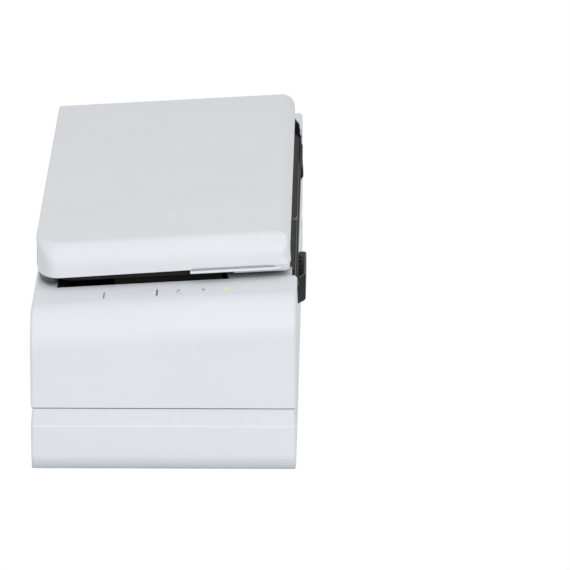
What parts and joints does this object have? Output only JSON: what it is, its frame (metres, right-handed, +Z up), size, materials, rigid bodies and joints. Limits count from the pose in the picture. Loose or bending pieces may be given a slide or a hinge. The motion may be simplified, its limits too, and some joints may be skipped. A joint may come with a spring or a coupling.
{
  "type": "document scanner",
  "caption": "Compact sheet-fed document scanner with a hinged feed lid, an opening upper unit, a front release lever and push buttons on an end panel",
  "frame": {"origin": "on the resting plane under the feet, midway between the two end faces and midway between the front and rear faces of the casing", "axes": "+X along the length, from the button panel towards the plain end; -Y is the front with the paper slot; +Z up"},
  "size_m": [0.296, 0.1084, 0.0866],
  "materials": {
    "casing_white": "fine satin texture",
    "panel_black": "smooth, slightly glossy",
    "tray_black": "fine matte texture",
    "internal_black": "plain moulded",
    "button_grey": "smooth satin",
    "gear_white": "smooth moulded nylon",
    "roller_rubber": "matte ground rubber",
    "foot_rubber": "matte",
    "belt_rubber": "matte",
    "steel": "bright drawn",
    "plate_steel": "rolled sheet, lightly brushed",
    "screw_steel": "dark plated",
    "bronze": "sintered",
    "sensor_glass": "clear flat glass",
    "lamp_lens": "clear green-tinted lens",
    "board_green": "solder-masked laminate",
    "chip_black": "moulded package",
    "motor_case": "drawn can"
  },
  "bodies": {
    "base": {"base_tray": "casing_white", "left_end_casing": "casing_white", "right_end_casing": "casing_white", "rubber_feet": "foot_rubber", "casing_screws": "screw_steel", "lower_paper_guide": "internal_black", "lower_image_sensor": "internal_black", "lower_sensor_glass": "sensor_glass", "left_side_plate": "plate_steel", "right_side_plate": "plate_steel", "shaft_bushings": "bronze", "main_board": "board_green", "board_components": "chip_black", "data_socket": "steel", "power_inlet": "chip_black", "control_board": "board_green", "light_guide": "lamp_lens", "drive_belt": "belt_rubber", "motor_bracket": "plate_steel", "drive_motor": "motor_case", "upper_hinge_pins": "steel"},
    "front_drive": {"front_drive_shaft": "steel", "front_drive_rollers": "roller_rubber", "front_pulley": "gear_white"},
    "rear_drive": {"rear_drive_shaft": "steel", "rear_drive_rollers": "roller_rubber", "rear_pulley": "gear_white", "rear_drive_gear": "gear_white", "transfer_gear": "gear_white"},
    "motor_rotor": {"motor_pinion": "bronze"},
    "scan_key": {"scan_button": "button_grey"},
    "power_key": {"power_button": "button_grey"},
    "upper_unit": {"upper_frame": "internal_black", "rear_feed_guide": "internal_black", "rear_cover": "casing_white", "lid_hinge_brackets": "plate_steel", "front_bezel": "casing_white", "corner_ledge": "casing_white", "front_fascia": "panel_black", "latch_pin": "steel", "upper_image_sensor": "internal_black", "upper_sensor_glass": "sensor_glass", "middle_gear_axle": "steel", "brake_bracket": "plate_steel"},
    "release_lever": {"latch_lever": "tray_black"},
    "front_idler_roll": {"front_idler": "gear_white"},
    "rear_idler_roll": {"rear_idler": "gear_white"},
    "pick_roll": {"pick_shaft": "steel", "pick_tyres": "roller_rubber", "pick_gear": "gear_white"},
    "middle_wheel": {"middle_gear": "gear_white"},
    "brake_roll": {"brake_shaft": "steel", "brake_rollers": "roller_rubber"},
    "lid": {"lid_cover": "casing_white", "lid_tray": "tray_black", "lid_hinge_pins": "steel"},
    "left_guide": {"left_side_guide": "tray_black"},
    "right_guide": {"right_side_guide": "tray_black"},
    "guide_wheel": {"guide_pinion": "gear_white"},
    "extension": {"chute_extension": "tray_black"}
  },
  "joints": [
    {"name": "upper_unit_hinge", "type": "hinge", "parent": "base", "child": "upper_unit", "pos_m": [0, 0.044, 0.034], "axis": [-1, 0, 0], "range_deg": [0, 40]},
    {"name": "lid_hinge", "type": "hinge", "parent": "upper_unit", "child": "lid", "pos_m": [0, 0.0455, 0.0752], "axis": [-1, 0, 0], "range_deg": [0, 95]},
    {"name": "release_lever_hinge", "type": "hinge", "parent": "upper_unit", "child": "release_lever", "pos_m": [-0.0835, -0.0512, 0.0632], "axis": [-1, 0, 0], "range_deg": [0, 20], "stiffness_Nm_per_rad": 0.02},
    {"name": "rear_drive_spin", "type": "hinge", "parent": "base", "child": "rear_drive", "pos_m": [0, 0.024, 0.019], "axis": [1, 0, 0], "continuous": true},
    {"name": "front_drive_spin", "type": "hinge", "parent": "base", "child": "front_drive", "pos_m": [0, -0.034, 0.019], "axis": [1, 0, 0], "continuous": true},
    {"name": "motor_spin", "type": "hinge", "parent": "base", "child": "motor_rotor", "pos_m": [0.118, 0.01739, 0.03716], "axis": [1, 0, 0], "continuous": true},
    {"name": "middle_wheel_spin", "type": "hinge", "parent": "upper_unit", "child": "middle_wheel", "pos_m": [0.109, 0.03006, 0.03565], "axis": [1, 0, 0], "continuous": true},
    {"name": "pick_spin", "type": "hinge", "parent": "upper_unit", "child": "pick_roll", "pos_m": [0, 0.0261, 0.05045], "axis": [1, 0, 0], "continuous": true},
    {"name": "front_idler_spin", "type": "hinge", "parent": "upper_unit", "child": "front_idler_roll", "pos_m": [0, -0.034, 0.0313], "axis": [1, 0, 0], "continuous": true},
    {"name": "rear_idler_spin", "type": "hinge", "parent": "upper_unit", "child": "rear_idler_roll", "pos_m": [0, 0.024, 0.0313], "axis": [1, 0, 0], "continuous": true},
    {"name": "brake_spin", "type": "hinge", "parent": "upper_unit", "child": "brake_roll", "pos_m": [0, 0.0409, 0.05045], "axis": [1, 0, 0], "continuous": true},
    {"name": "scan_key_press", "type": "slide", "parent": "base", "child": "scan_key", "axis": [0, -0.058, -0.9983], "range_m": [0, 0.0008], "stiffness_N_per_m": 800},
    {"name": "power_key_press", "type": "slide", "parent": "base", "child": "power_key", "axis": [0, -0.058, -0.9983], "range_m": [0, 0.0008], "stiffness_N_per_m": 800},
    {"name": "left_guide_slide", "type": "slide", "parent": "lid", "child": "left_guide", "axis": [1, 0, 0], "range_m": [0, 0.08]},
    {"name": "right_guide_slide", "type": "slide", "parent": "lid", "child": "right_guide", "axis": [-1, 0, 0], "range_m": [0, 0.08]},
    {"name": "guide_wheel_spin", "type": "hinge", "parent": "lid", "child": "guide_wheel", "pos_m": [0, -0.00078, 0.07047], "axis": [0, -0.058, -0.9983], "range_deg": [0, 720]},
    {"name": "extension_slide", "type": "slide", "parent": "lid", "child": "extension", "axis": [0, -0.9983, 0.058], "range_m": [0, 0.058]}
  ],
  "couplings": [
    {"joint": "front_drive_spin", "follows": "rear_drive_spin", "ratio": 1},
    {"joint": "motor_spin", "follows": "rear_drive_spin", "ratio": -3},
    {"joint": "middle_wheel_spin", "follows": "rear_drive_spin", "ratio": -1.2},
    {"joint": "pick_spin", "follows": "rear_drive_spin", "ratio": 1.3333},
    {"joint": "front_idler_spin", "follows": "rear_drive_spin", "ratio": -1.4},
    {"joint": "rear_idler_spin", "follows": "rear_drive_spin", "ratio": -1.4},
    {"joint": "right_guide_slide", "follows": "left_guide_slide", "ratio": 1},
    {"joint": "guide_wheel_spin", "follows": "left_guide_slide", "rad_per_m": 156.25}
  ]
}
